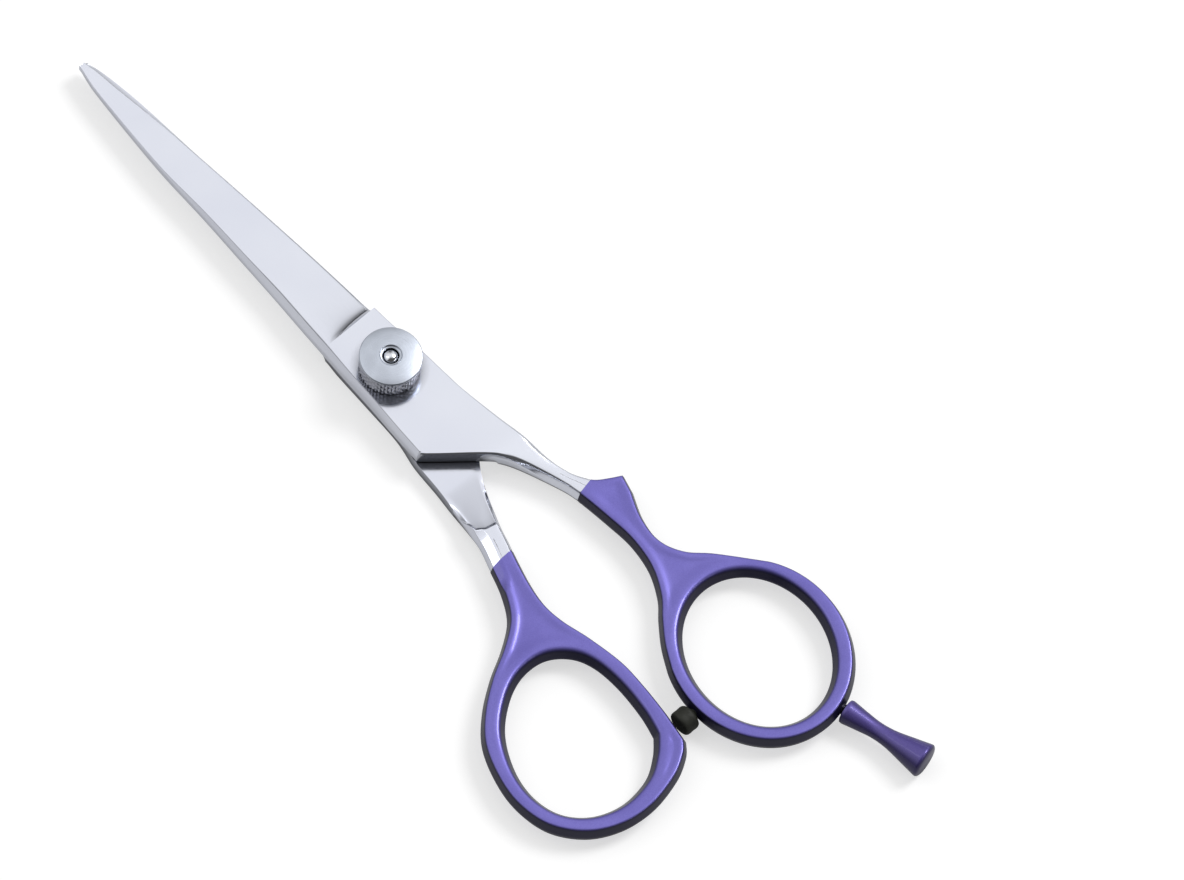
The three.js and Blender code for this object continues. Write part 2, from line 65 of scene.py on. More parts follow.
PAINT = 0.03         # the enamel stands this proud of the steel
STEM_END_Y = -34.3

# rows of the steel halves: from, to and pitch along Y, closest where the faces turn
ROW_RUNS = [(TIP_Y - TIP_ROUND, 12.0, -0.6), (7.9, -12.6, -0.6), (-12.7, -14.6, -0.08),
            (-14.7, -23.0, -0.16), (-23.0, -29.6, -0.09), (-29.7, STEM_END_Y, -0.16)]
# columns over a bevel, as shares of its width, and the number of spaces between the bevels
BEVEL_STOPS = np.array([0, 0.14, 0.27, 0.4, 0.52, 0.64, 0.75, 0.84, 0.92, 1.0])
COLUMNS = 43

# ---- plan outlines, from the points to the rings ----
FINGER_SPINE = [(-0.75, 66.8), (-1.2, 65.0), (-1.65, 62.4), (-2.5, 54.5), (-3.2, 46), (-3.5, 37),
                (-4.0, 28), (-4.45, 20), (-4.95, 13), (-5.25, 8), (-5.5, 4), (-5.8, -2),
                (-6.2, -7.6), (-6.5, -13.1)]
FINGER_DIAGONAL = [(-5.6, -14.0), (-4.2, -15.2), (0.9, -19.6), (2.9, -21.8), (4.5, -25.1),
                   (6.4, -30.4), (7.1, -33.3), (7.4, -35)]
FINGER_EDGE = [(0.5, 66.8), (0.9, 65.2), (1.35, 61.2), (2.4, 52.5), (3.05, 44), (3.6, 36),
               (4.1, 28), (4.5, 21), (4.8, 14), (4.93, 8.5), (5.05, 5), (5.4, 0), (5.6, -6),
               (5.8, -10), (6.7, -17), (7.4, -21), (8.0, -25), (8.8, -28.2), (9.6, -30.4),
               (10.9, -32.6), (12.4, -35)]
THUMB_SPINE = [(1.05, 66.8), (1.5, 65.2), (2.0, 61.8), (2.5, 56.5), (3.0, 46), (3.45, 37),
               (3.85, 29), (4.3, 21), (4.6, 14), (4.8, 8.5), (5.0, 5), (5.2, -2), (5.4, -8),
               (5.2, -13.0)]
THUMB_INNER = [(4.0, -15.2), (1.7, -17.8), (-0.4, -20.6), (-2.2, -23.9), (-3.7, -27.5),
               (-4.5, -29.6), (-5.1, -31.6), (-5.7, -33.3), (-6.3, -35)]
THUMB_EDGE = [(-0.1, 66.8), (-0.5, 65.2), (-1.0, 61.2), (-2.0, 52.5), (-2.6, 44), (-3.1, 36),
              (-3.6, 28), (-4.0, 21), (-4.4, 14), (-4.62, 8.5), (-4.9, 5.5), (-5.2, -1),
              (-5.6, -8), (-6.6, -13), (-7.1, -18.6), (-7.7, -22.5), (-8.5, -26.6),
              (-9.2, -29.9), (-10.4, -33.3), (-11.0, -35)]
FINGER_SHOULDER = [(9, -18.6), (6.4, -19.0), (3.6, -19.8), (1.5, -21.3), (-1, -24)]
THUMB_SHOULDER = [(-10, -23.2), (-8.05, -24.6), (-7.6, -27.3), (-6.6, -28.1), (-4.3, -28.6),
                  (-2, -28.8)]

HORN = [(8.0, -25), (8.8, -28.2), (9.6, -30.4), (10.9, -32.6), (12.7, -33.9), (14.9, -35.1)]
FINGER_NECK_RIGHT = [(14.0, -38.2), (12.2, -42.4), (11.7, -46.6), (13.2, -50.2), (16.4, -53.5)]
FINGER_NECK_LEFT = [(0.1, -59.3), (2.6, -56.0), (5.0, -53.2), (7.1, -49.0), (7.95, -44.0),
                    (7.7, -39), (7.1, -33.3), (6.4, -30.4), (5.4, -27.6)]
FINGER_HOLE = (10.35, -69.2, 12.6, 10.5, 78.0)
FINGER_RIM = (10.35, -69.5, 15.53, 13.83, 78.5)
THUMB_OUTER = [(-8.5, -26.6), (-9.2, -29.9), (-10.4, -33.3), (-11.9, -37.4), (-14.2, -41.2),
               (-18.0, -44.0), (-22.6, -46.5), (-27.2, -49.8), (-30.8, -53.8), (-33.0, -59.2),
               (-33.75, -64.5), (-32.6, -70.1), (-29.0, -74.7), (-24.0, -77.3), (-18.5, -77.9),
               (-12.8, -76.7), (-9.2, -74.8), (-7.55, -73.0)]
THUMB_INNER_SIDE = [(-6.6, -67.7), (-6.05, -62.5), (-5.9, -57.5), (-6.8, -51.5), (-7.9, -46.8),
                    (-8.15, -43.0), (-7.4, -38.8), (-5.7, -33.3), (-4.5, -29.6), (-3.7, -27.5)]
THUMB_HOLE = [(-10.7, -69.3), (-9.75, -65.5), (-9.2, -60), (-9.6, -55.2), (-11.2, -51.8),
              (-14.4, -49.5), (-18.6, -49.3), (-22.7, -51.0), (-26.8, -54.5), (-29.6, -59.6),
              (-30.5, -64.6), (-29.4, -69.2), (-26.2, -72.6), (-21.5, -74.2), (-16.4, -73.6),
              (-12.9, -71.5)]
FINGER_PAINT = ((7.1, -33.5), (10.9, -32.7))      # a line across the stem, left to right
THUMB_PAINT = ((-10.4, -33.6), (-5.7, -33.4))

# width of the bevels and fall of the spine side, along Y
FINGER_BEVEL = [(-31, RIM), (-24, 0.4), (-15, 0.18), (-13.3, 0.2), (-13.1, 0.55), (1.7, 0.6),
                (10, 0.85), (20, 0.85), (27, 0.6), (33, 0.5), (38, 0.4), (46, 0.2), (67, 0.1)]
FINGER_FALL = [(-24, 0.3), (-15, 0.15), (-13.3, 0.15), (-13.1, 1.3), (5, 1.5), (20, 1.6),
               (38, 1.0), (46, 0.45), (67, 0.15)]
THUMB_BEVEL = [(-31, RIM), (-24, 0.4), (-14, 0.25), (8, 0.5), (20, 0.6), (40, 0.3), (67, 0.06)]
THUMB_FALL = [(y, 0.8 * width) for y, width in THUMB_BEVEL]
EDGE_BEVEL = [(-31, RIM), (-24, 0.35), (-10, 0.16), (8.7, 0.12), (12, 0.04), (67, 0.02)]

# rounded rim of a handle: distance in from the outline, and drop below the flat face
RIM_PROFILE = [(0, HANDLE_HALF - PARTING), (0.2, 1.1), (0.38, 0.55), (0.45, 0.36), (0.53, 0.2),
               (0.62, 0.1), (0.72, 0.05), (RIM, 0.03), (1.1, 0.01), (1.4, 0)]

# distances in from the outline and the hole at which a handle has a ring of points
RING_STOPS = [0.1, 0.2, 0.29, 0.38, 0.45, 0.53, 0.62, 0.72, RIM, 1.05, 1.35, 1.7, 2.1, 2.6, 3.2]
OUTLINE_PITCH = 0.28

# ---- pivot hardware and finger rest ----
BARREL_LOW, BARREL_HIGH, BARREL_RADIUS = 5.66, 9.18, 4.68
BARREL_CHAMFER = 0.22
KNURL_DEPTH, KNURL_LINES, KNURL_LEAD = 0.36, 26, 0.8
NUT_SEGMENTS, NUT_LEVELS = 14 * KNURL_LINES, 56
STUD_RADIUS, THREAD_DEPTH, THREAD_PITCH = 0.78, 0.12, 0.35
STUD_FROM, STUD_LENGTH = -0.7, 3.4
REST_START = (13.6, -84.6)
REST_END = (17.0, -98.9)
BUMPER_SEAT = (-3.2, -70.2)

# ---- view and light ----
CAMERA_TURN, CAMERA_RISE, CAMERA_ROLL = -49.1, 65.0, 7.0      # degrees
CAMERA_AIM = (15.35, -27.75, 3.0)                             # millimetres
CAMERA_DISTANCE = 5.0       # metres, far enough for a nearly parallel view
VIEW_WIDTH = 0.1752         # metres across the picture at the aim
FLOOR_REACH = 12.0          # metres
# soft boxes: direction, distance and size in metres, radiance
PANELS = {
    "key": ((0.62, -0.16, 0.77), 1.9, (0.7, 0.7), 11.0),
    "strip_left": ((-0.36, 0.46, 0.81), 1.6, (0.16, 1.0), 1.6),
    "strip_right": ((0.86, 0.5, 0.18), 1.6, (0.5, 0.14), 1.5),
    "strip_front": ((0.32, -0.80, 0.5), 1.6, (1.0, 0.16), 4.0),
    "strip_back": ((0.15, 0.92, 0.26), 1.6, (1.0, 0.14), 1.0),
}


# ---- curves ----
def spline(points, steps=12):
    """Catmull-Rom curve through the points."""
    p = np.array(points, float)
    last = len(p) - 1
    t = np.linspace(0, 1, steps, endpoint=False)[:, None]
    runs = []
    for i in range(last):
        a, b, c, d = p[max(i - 1, 0)], p[i], p[i + 1], p[min(i + 2, last)]
        u, v = (c - a) / 2, (d - b) / 2
        runs.append((2 * b - 2 * c + u + v) * t**3 + (3 * c - 3 * b - 2 * u - v) * t**2 + u * t + b)
    return np.vstack(runs + [p[-1:]])


def curve(table):
    """A value as a function of y, from (y, value) pairs."""
    y, value = zip(*table)
    return lambda at: np.interp(at, y, value)


def side_line(*runs):
    """x as a function of y along a side made of one or more splines."""
    line = np.vstack([spline(r) for r in runs])
    line = line[np.argsort(line[:, 1], kind="stable")]
    return lambda y: np.interp(y, line[:, 1], line[:, 0])


def ellipse(spec, start, end, count):
    """Points on an ellipse given as centre x, y, two half axes and tilt, between two angles."""
    x, y, long, short, tilt = spec
    a = np.radians(np.linspace(start, end, count))
    c, s = math.cos(math.radians(tilt)), math.sin(math.radians(tilt))
    u, v = long * np.cos(a), short * np.sin(a)
    return np.stack([x + u * c - v * s, y + u * s + v * c], 1)


def resample(line, pitch, closed=False):
    """The same line with its points a pitch apart."""
    if closed:
        line = np.vstack([line, line[:1]])
    step = np.hypot(*np.diff(line, axis=0).T)
    along = np.concatenate([[0], np.cumsum(step)])
    count = max(2, int(round(along[-1] / pitch)))
    at = np.linspace(0, along[-1], count + 1)
    out = np.stack([np.interp(at, along, line[:, k]) for k in (0, 1)], 1)
    return out[:-1] if closed else out


def chain(line, closed=False):
    """Segments (N, 2, 2) of a polyline."""
    pairs = np.stack([line, np.roll(line, -1, 0)], 1)
    return pairs if closed else pairs[:-1]


def distance_to(points, segments, chunk=4000):
    """Distance from each plan point to the nearest of the segments (N, 2, 2)."""
    a, d = segments[:, 0], segments[:, 1] - segments[:, 0]
    length = np.maximum((d * d).sum(1), 1e-12)
    out = np.empty(len(points))
    for i in range(0, len(points), chunk):
        p = points[i:i + chunk, None, :] - a[None]
        t = np.clip((p * d[None]).sum(2) / length[None], 0, 1)
        out[i:i + chunk] = np.sqrt(((p - t[..., None] * d[None]) ** 2).sum(2)).min(1)
    return out


def smoothstep(t):
    t = np.clip(t, 0, 1)
    return t * t * (3 - 2 * t)


# ---- meshes ----
def ring(radius, z, segments):
    """Points of a circle about Z."""
    return [(radius * math.cos(2 * math.pi * j / segments),
             radius * math.sin(2 * math.pi * j / segments), z) for j in range(segments)]


def ring_faces(rows, count, wrap=False):
    """Quads between neighbouring rings of count points, with wrap also from last to first."""
    faces = []
    for i in range(rows if wrap else rows - 1):
        here, there = i * count, (i + 1) % rows * count
        for j in range(count):
            k = (j + 1) % count
            faces.append((here + j, here + k, there + k, there + j))
    return faces


def add_mesh(name, verts, faces, material, body, nodes):
    """A piece of the visual model that rides on a body in place of the named CAD nodes."""
    mesh = bpy.data.meshes.new(name)
    mesh.from_pydata((np.asarray(verts, float) * MM).tolist(), [], faces)
    mesh.validate()
    ob = bpy.data.objects.new(name, mesh)
    bpy.context.scene.collection.objects.link(ob)
    mesh.materials.append(material)
    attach(ob, body)
    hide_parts(*nodes)
    return ob


def shade(ob, angle, soft=None):
    """Smooth shading, with a crease on each edge over an angle unless soft(middle) is true."""
    bm = bmesh.new()
    bm.from_mesh(ob.data)
    bmesh.ops.remove_doubles(bm, verts=bm.verts, dist=2e-7)
    bmesh.ops.recalc_face_normals(bm, faces=bm.faces)
    limit = math.radians(angle)
    for f in bm.faces:
        f.smooth = True
    for e in bm.edges:
        if len(e.link_faces) == 2 and e.calc_face_angle(0) > limit:
            mid = (e.verts[0].co + e.verts[1].co) / 2 / MM
            e.smooth = bool(soft and soft(mid))
    bm.to_mesh(ob.data)
    bm.free()


def cut(ob, cutters):
    """Takes turned cutters away from a piece, then deletes them."""
    for cutter in cutters:
        mod = ob.modifiers.new("cut", "BOOLEAN")
        mod.operation = "DIFFERENCE"
        mod.solver = "EXACT"
        mod.object = cutter
    bpy.context.view_layer.update()
    graph = bpy.context.evaluated_depsgraph_get()
    mesh = bpy.data.meshes.new_from_object(ob.evaluated_get(graph))
    ob.modifiers.clear()
    ob.data = mesh
    for cutter in cutters:
        bpy.data.objects.remove(cutter)


def turned(profile, segments):
    """Vertices and faces of an (r, z) profile revolved about Z. Points with r = 0 are poles."""
    verts, rings = [], []
    for r, z in profile:
        if r < 1e-6:
            rings.append([len(verts)] * segments)
            verts.append((0, 0, z))
            continue
        rings.append(list(range(len(verts), len(verts) + segments)))
        for i in range(segments):
            a = 2 * math.pi * i / segments
            verts.append((r * math.cos(a), r * math.sin(a), z))
    faces = []
    for lower, upper in zip(rings, rings[1:]):
        for i in range(segments):
            j = (i + 1) % segments
            face = list(dict.fromkeys([lower[i], lower[j], upper[j], upper[i]]))
            if len(face) > 2:
                faces.append(face)
    return np.array(verts, float), faces


def lay(verts, start, angle, z=MID):
    """Turns a piece made along Z to lie in plan from start, along angle."""
    x, y, along = verts[:, 0], verts[:, 1], verts[:, 2]
    c, s = math.cos(angle), math.sin(angle)
    return np.stack([start[0] + along * c - y * s, start[1] + along * s + y * c, z - x], 1)


def cutter(profile):
    """A turned solid to take away from a piece."""
    verts, faces = turned(profile, 96)
    mesh = bpy.data.meshes.new("cutter")
    mesh.from_pydata((verts * MM).tolist(), [], faces)
    bm = bmesh.new()
    bm.from_mesh(mesh)
    bmesh.ops.recalc_face_normals(bm, faces=bm.faces)
    bm.to_mesh(mesh)
    bm.free()
    ob = bpy.data.objects.new("cutter", mesh)
    bpy.context.scene.collection.objects.link(ob)
    return ob


def disc(radius, low, high):
    return cutter([(0, low), (radius, low), (radius, high), (0, high)])


# ---- materials ----
class Nodes:
    """Adds and links shader nodes of one material."""

    def __init__(self, name):
        self.material = bpy.data.materials.new(name)
        self.material.use_nodes = True
        self.tree = self.material.node_tree
        self.shader = self.tree.nodes["Principled BSDF"]

    def set(self, **values):
        for key, value in values.items():
            self.shader.inputs[key.replace("_", " ")].default_value = value

    def add(self, kind, links=(), **values):
        node = self.tree.nodes.new(kind)
        for key, value in values.items():
            if hasattr(node, key):
                setattr(node, key, value)
            else:
                node.inputs[key.replace("_", " ")].default_value = value
        for key, source in dict(links).items():
            self.tree.links.new(source, node.inputs[key])
        return node

    def link(self, source, key):
        self.tree.links.new(source, self.shader.inputs[key])

    def coords(self, scale=(1, 1, 1)):
        where = self.add("ShaderNodeTexCoord").outputs["Object"]
        mapping = self.add("ShaderNodeMapping", {"Vector": where})
        mapping.inputs["Scale"].default_value = scale
        return mapping.outputs["Vector"]

    def noise(self, vector, scale, detail=3.0, rough=0.5):
        node = self.add("ShaderNodeTexNoise", {"Vector": vector})
        node.inputs["Scale"].default_value = scale
        node.inputs["Detail"].default_value = detail
        node.inputs["Roughness"].default_value = rough
        return node.outputs["Fac"]

    def ramp(self, source, low, high):
        """Maps 0.3 to 0.7 of a noise onto a range of values."""
        node = self.add("ShaderNodeMapRange", {"Value": source})
        node.inputs["From Min"].default_value = 0.3
        node.inputs["From Max"].default_value = 0.7
        node.inputs["To Min"].default_value = low
        node.inputs["To Max"].default_value = high
        return node.outputs["Result"]

    def mix(self, factor, a, b):
        """Blends colour a into b."""
        node = self.add("ShaderNodeMix", {0: factor}, data_type="RGBA")
        node.inputs[6].default_value = (*a, 1)
        node.inputs[7].default_value = (*b, 1)
        return node.outputs[2]

    def shadowed(self, color, reach):
        """Darkens a colour in corners narrower than reach metres."""
        node = self.add("ShaderNodeAmbientOcclusion", {"Color": color}, Distance=reach)
        return node.outputs["Color"]

    def painted_wall_shade(self, color, level):
        """Painted shade: scales a colour down to level where the surface stands upright."""
        normal = self.add("ShaderNodeNewGeometry").outputs["Normal"]
        split = self.add("ShaderNodeSeparateXYZ", {"Vector": normal})
        flat = self.add("ShaderNodeMath", {0: split.outputs["Z"]}, operation="ABSOLUTE")
        fade = self.add("ShaderNodeMapRange", {"Value": flat.outputs[0]})
        fade.inputs["From Min"].default_value = 0.5
        fade.inputs["From Max"].default_value = 0.97
        fade.inputs["To Min"].default_value = level
        node = self.add("ShaderNodeVectorMath", {0: color, 1: fade.outputs["Result"]},
                        operation="MULTIPLY")
        return node.outputs[0]

    def bump(self, *layers):
        """Each layer is a height, a strength and a distance in metres."""
        normal = None
        for height, strength, distance in layers:
            node = self.add("ShaderNodeBump", {"Height": height})
            node.inputs["Strength"].default_value = strength
            node.inputs["Distance"].default_value = distance
            if normal:
                self.tree.links.new(normal, node.inputs["Normal"])
            normal = node.outputs["Normal"]
        self.link(normal, "Normal")


def polished_steel():
    m = Nodes("polished_steel")
    m.set(Metallic=1.0, Roughness=0.14)
    grain = m.noise(m.coords((900, 60, 300)), 8.0, 4.0, 0.6)
    cloud = m.noise(m.coords((60, 60, 60)), 1.0, 2.0)
    scratch = m.noise(m.coords((3500, 120, 3500)), 1.0, 2.0, 0.7)
    tone = m.mix(m.ramp(cloud, 0, 1), (0.79, 0.815, 0.915), (0.85, 0.875, 0.96))
    m.link(m.shadowed(tone, 0.0018), "Base Color")
    m.link(m.ramp(grain, 0.11, 0.19), "Roughness")
    m.bump((grain, 0.06, 2e-5), (scratch, 0.03, 1e-5))
    return m.material


def enamel(name, low, high, edge):
    """Pearl lacquer: fine flakes under a clear coat, with a trace of orange peel, and painted shade
    on its walls.
    """
    m = Nodes(name)
    m.set(Metallic=0.35, Roughness=0.34, Coat_Weight=0.4, Coat_Roughness=0.07, Coat_IOR=1.5,
          Specular_IOR_Level=0.25)
    flake = m.noise(m.coords(), 6000.0, 1.0)
    cloud = m.noise(m.coords(), 110.0, 3.0)
    peel = m.noise(m.coords(), 900.0, 2.0)
    blend = m.add("ShaderNodeMath", operation="ADD")
    m.tree.links.new(m.ramp(flake, -0.25, 0.25), blend.inputs[0])
    m.tree.links.new(m.ramp(cloud, 0.25, 0.75), blend.inputs[1])
    # painted shade: upright walls keep only the share edge of the colour
    m.link(m.painted_wall_shade(m.mix(blend.outputs[0], low, high), edge), "Base Color")
    m.link(m.ramp(cloud, 0.30, 0.40), "Roughness")
    m.bump((peel, 0.12, 2e-5), (flake, 0.05, 1e-5))
    return m.material


def radial(m):
    """Distance from the pivot axis, in metres."""
    flat = m.coords((1, 1, 0))
    length = m.add("ShaderNodeVectorMath", {0: flat}, operation="LENGTH")
    return length.outputs["Value"]


def turned_steel(name, color, rough):
    m = Nodes(name)
    m.set(Metallic=1.0)
    spread = m.add("ShaderNodeCombineXYZ", {"X": radial(m)})
    rings = m.noise(spread.outputs[0], 9000.0, 2.0, 0.6)
    wear = m.noise(m.coords(), 500.0, 3.0)
    pale = tuple(min(1.0, c * 1.12) for c in color)
    m.link(m.shadowed(m.mix(m.ramp(wear, 0, 1), color, pale), 0.0006), "Base Color")
    m.link(m.ramp(rings, rough * 0.75, rough * 1.3), "Roughness")
    m.bump((rings, 0.05, 1e-5), (wear, 0.05, 1e-5))
    return m.material


def moulded(name, low, high, rough):
    m = Nodes(name)
    m.set(Specular_IOR_Level=0.4)
    fine = m.noise(m.coords(), 2500.0, 4.0, 0.6)
    cloud = m.noise(m.coords(), 300.0, 2.0)
    m.link(m.mix(m.ramp(cloud, 0, 1), low, high), "Base Color")
    m.link(m.ramp(fine, rough * 0.85, min(1.0, rough * 1.15)), "Roughness")
    m.bump((fine, 0.35, 6e-5))
    return m.material


STEEL = polished_steel()
# the last figure is the share of colour left on upright walls, as painted shade
PURPLE = enamel("purple_enamel", (0.15, 0.13, 0.49), (0.205, 0.18, 0.59), 0.08)
PURPLE_DARK = enamel("rest_enamel", (0.085, 0.065, 0.27), (0.13, 0.10, 0.37), 0.35)
NUT_STEEL = turned_steel("nut_steel", (0.55, 0.59, 0.67), 0.3)
# the knurled side is a darker copy of the nut's steel: painted shade on the side of the nut
KNURL_STEEL = turned_steel("knurl_steel", (0.44, 0.45, 0.51), 0.2)
STUD_STEEL = turned_steel("stud_steel", (0.10, 0.095, 0.13), 0.35)
SCREW_STEEL = turned_steel("screw_steel", (0.78, 0.80, 0.86), 0.1)
RUBBER = moulded("rubber", (0.012, 0.013, 0.009), (0.022, 0.024, 0.017), 0.62)
NYLON = moulded("nylon", (0.72, 0.70, 0.64), (0.80, 0.78, 0.72), 0.5)


# ---- steel halves ----
def half_stations():
    """Every y at which a half has a row of points, from the tip to the end of the stem."""
    y = [np.arange(*run) for run in ROW_RUNS]
    y.append(TIP_Y - TIP_ROUND * np.array([0, 0.02, 0.08, 0.2, 0.4, 0.7]))
    y.append(STEP_Y + RUNOUT * np.linspace(0, 1, 40) ** 1.7)
    y.append(STEP_Y - np.array([0.02, 0.06, 0.12, 0.25, 0.5]))
    return np.unique(np.round(np.concatenate(y), 4))[::-1]


def outer_height(y):
    """Height of the outer face above the middle plane."""
    along = np.clip((y - STEP_Y) / (TIP_Y - STEP_Y), 0, 1)
    blade = GAP + HALF + (TIP_THICK - HALF) * along
    return blade - (GAP + HALF - HANDLE_HALF) * smoothstep((-18.5 - y) / 11.5)


def rim_drop(d):
    """Drop of a rounded rim at a distance in from the outline."""
    x, z = zip(*RIM_PROFILE)
    return np.interp(d, x, z)


def thumb_facet(near, y):
    """Drop of the long flat on the outer side of the thumb stem, near being the distance in."""
    width = 1.75 * smoothstep((-23.5 - y) / 6) * smoothstep((y + 40) / 4)
    return 0.42 * np.clip(width - near, 0, None)


def steel_row(y, spine, edge, spine_bevel, edge_bevel):
    """Columns across one half at y, packed towards its two sides, a at the spine, b at the edge.

    d is the distance from side a along X; near_a and near_b are measured square to the sides.
    """
    tip = max(y - (TIP_Y - TIP_ROUND), 0) / TIP_ROUND
    squeeze = TIP_WIDTH + (1 - TIP_WIDTH) * math.sqrt(max(1 - tip**2, 0))
    a, b = spine(y), edge(y)
    centre = (a + b) / 2
    a, b = centre + (a - centre) * squeeze, centre + (b - centre) * squeeze
    side = math.copysign(1, b - a)
    width = abs(b - a)
    slope_a = math.hypot(1, (spine(y + 0.05) - spine(y - 0.05)) / 0.1)
    slope_b = math.hypot(1, (edge(y + 0.05) - edge(y - 0.05)) / 0.1)
    bevel_a, bevel_b = spine_bevel(y), edge_bevel(y)
    d_a, d_b = BEVEL_STOPS * bevel_a * slope_a, BEVEL_STOPS * bevel_b * slope_b
    fit = min(1, 0.8 * width / (d_a[-1] + d_b[-1]))
    d_a, d_b = d_a * fit, d_b * fit
    between = d_a[-1] + (width - d_a[-1] - d_b[-1]) * np.linspace(0, 1, COLUMNS + 1)[1:-1]
    d = np.concatenate([d_a, between, (width - d_b)[::-1]])
    return SimpleNamespace(y=y, x=a + side * d, d=d, side=side, width=width, start=d_a[-1],
                           near_a=d / slope_a, near_b=(width - d) / slope_b,
                           bevel_a=bevel_a * fit, bevel_b=bevel_b * fit, fit=fit)


def ground_face(row, top, bevel, lift):
    """The blade's grind. lift is the length over which it fades out at the step."""
    past = row.y - STEP_Y
    deep = 1 - 0.9 * math.exp(-past / lift) - 0.1 * math.exp(-past / 1.6)
    share = np.clip((row.d - row.start) / (row.width - row.start), 0, 1)
    run = share ** (1 + 0.7 * math.exp(-past / 5))
    land = max(GAP + EDGE_LAND, top - GRIND_SLOPE * (row.width - row.start))
    outer = top - bevel - (top - land) * run * deep
    broken = np.clip(1 - (row.width - row.d) / EDGE_BREAK, 0, 1)
    return outer - 0.8 * broken * min(EDGE_BREAK, 0.1 + past)


def outer_face(row, fall, lift):
    """Height of the outer face above the middle plane."""
    top = float(outer_height(row.y))
    bevel_a = fall * row.fit * np.clip(1 - row.near_a / row.bevel_a, 0, 1) ** 1.4
    if row.y >= STEP_Y:
        return ground_face(row, top, bevel_a, lift)
    bevel_b = 0.8 * row.bevel_b * np.clip(1 - row.near_b / row.bevel_b, 0, 1)
    turn = float(smoothstep((STEM_Y - row.y) / 9.5))
    drop = (1 - turn) * np.maximum(bevel_a, bevel_b)
    return top - drop - turn * np.maximum(rim_drop(row.near_a), rim_drop(row.near_b))


def shoulder_rise(row, shoulder, up):
    """How far the inner face has risen to the stem, 0 to 1, on both sides of the shoulder."""
    plan = np.stack([row.x, np.full_like(row.x, row.y)], 1)
    by_x = shoulder[np.argsort(shoulder[:, 0])]
    beyond = np.where(row.y < np.interp(row.x, by_x[:, 0], by_x[:, 1]), 1, -1)
    signed = distance_to(plan, chain(shoulder)) * beyond
    raised = smoothstep((signed + 0.1) / 0.6)
    tail = 0.27 * float(smoothstep((-17.5 - row.y) / 3)) * np.exp(np.minimum(signed, 0) / 2.4)
    if not up:
        climb = max(LAND_CLIMB_Y - row.y, 0)
        tail = 0.5 * tail + 0.063 * (climb - 1.2 * (1 - math.exp(-climb / 1.2)))
    return raised + tail * (1 - raised)


def inner_face(row, shoulder, up):
    """Height of the inner face: a little hollow along the blade, stepped up to the stem."""
    share = row.d / row.width
    hollow = INNER_HOLLOW * float(smoothstep((row.y - 12) / 6)) * 4 * share * (1 - share)
    raised = shoulder_rise(row, shoulder, up) if row.y < SHOULDER_Y else np.zeros_like(row.x)
    stem = np.maximum(rim_drop(row.near_a), rim_drop(row.near_b))
    if not up:
        stem = np.maximum(stem, thumb_facet(row.near_b, row.y))
    return (GAP + hollow) * (1 - raised) + (stem - HANDLE_HALF) * raised


def steel_loop(row, outer, inner, paint, up):
    """Closed loop of points round one row. The stem's end shrinks to sit inside the enamel."""
    line = np.interp(row.x, [paint[0][0], paint[1][0]], [paint[0][1], paint[1][1]])
    inset = PAINT * smoothstep((-27 - row.y) / 5) + 0.5 * smoothstep((line - 0.1 - row.y) / 0.6)
    x = row.x - 1.5 * row.side * inset * np.sign(row.d - row.width / 2)
    y = np.full_like(x, row.y)
    sign = 1 if up else -1
    outside = np.stack([x, y, MID + sign * (outer - inset)], 1)
    inside_face = np.stack([x, y, MID + sign * (inner + inset)], 1)[::-1]
    wall_b = (outside[-1] + inside_face[0]) / 2
    wall_a = (outside[0] + inside_face[-1]) / 2
    return np.vstack([outside, wall_b[None], inside_face, wall_a[None]])


def steel_half(half):
    """Skin of one half: rows along Y, columns from the spine side to the edge side."""
    shoulder = np.array(half.shoulder, float)
    loops = []
    for y in half_stations():
        row = steel_row(y, half.spine, half.edge, half.bevel, curve(EDGE_BEVEL))
        outer = outer_face(row, half.fall(y), half.lift)
        inner = inner_face(row, shoulder, half.up)
        loops.append(steel_loop(row, outer, inner, half.paint, half.up))
    count = len(loops[0])
    faces = ring_faces(len(loops), count)
    columns = (count - 2) // 2
    for base in (0, (len(loops) - 1) * count):
        for j in range(columns - 1):
            faces.append((base + j, base + j + 1, base + count - 3 - j, base + count - 2 - j))
        faces.append((base + columns - 1, base + columns, base + columns + 1))
        faces.append((base + count - 2, base + count - 1, base))
    return np.vstack(loops), faces


def make_halves():
    """Both halves, bored for the screw and with pockets for the washers and the screw's head."""
    bore = [(0, -1), (2.65, -1), (2.65, 7), (0, 7)]
    finger = SimpleNamespace(
        name="finger_half_steel", body="finger_half", node="finger_blade", up=True,
        spine=side_line(FINGER_SPINE, FINGER_DIAGONAL), edge=side_line(FINGER_EDGE),
        bevel=curve(FINGER_BEVEL), fall=curve(FINGER_FALL), lift=0.36,
        shoulder=FINGER_SHOULDER, paint=FINGER_PAINT, soft_from=-19.0,
        cutters=[cutter(bore), disc(4.55, 1.8, 3.2), disc(4.15, 5.15, 6.6)])
    thumb = SimpleNamespace(
        name="thumb_half_steel", body="thumb_half", node="thumb_blade", up=False,
        spine=side_line(THUMB_SPINE, THUMB_INNER), edge=side_line(THUMB_EDGE),
        bevel=curve(THUMB_BEVEL), fall=curve(THUMB_FALL), lift=1.2,
        shoulder=THUMB_SHOULDER, paint=THUMB_PAINT, soft_from=-22.5,
        cutters=[cutter(bore), disc(4.55, 2.4, 3.8), disc(4.45, -1, 1.25)])
    for half in (finger, thumb):
        verts, faces = steel_half(half)
        ob = add_mesh(half.name, verts, faces, STEEL, half.body, [half.node])
        shade(ob, 32)
        cut(ob, half.cutters)
        shade(ob, 32, soft=lambda p, limit=half.soft_from: p.y < limit)


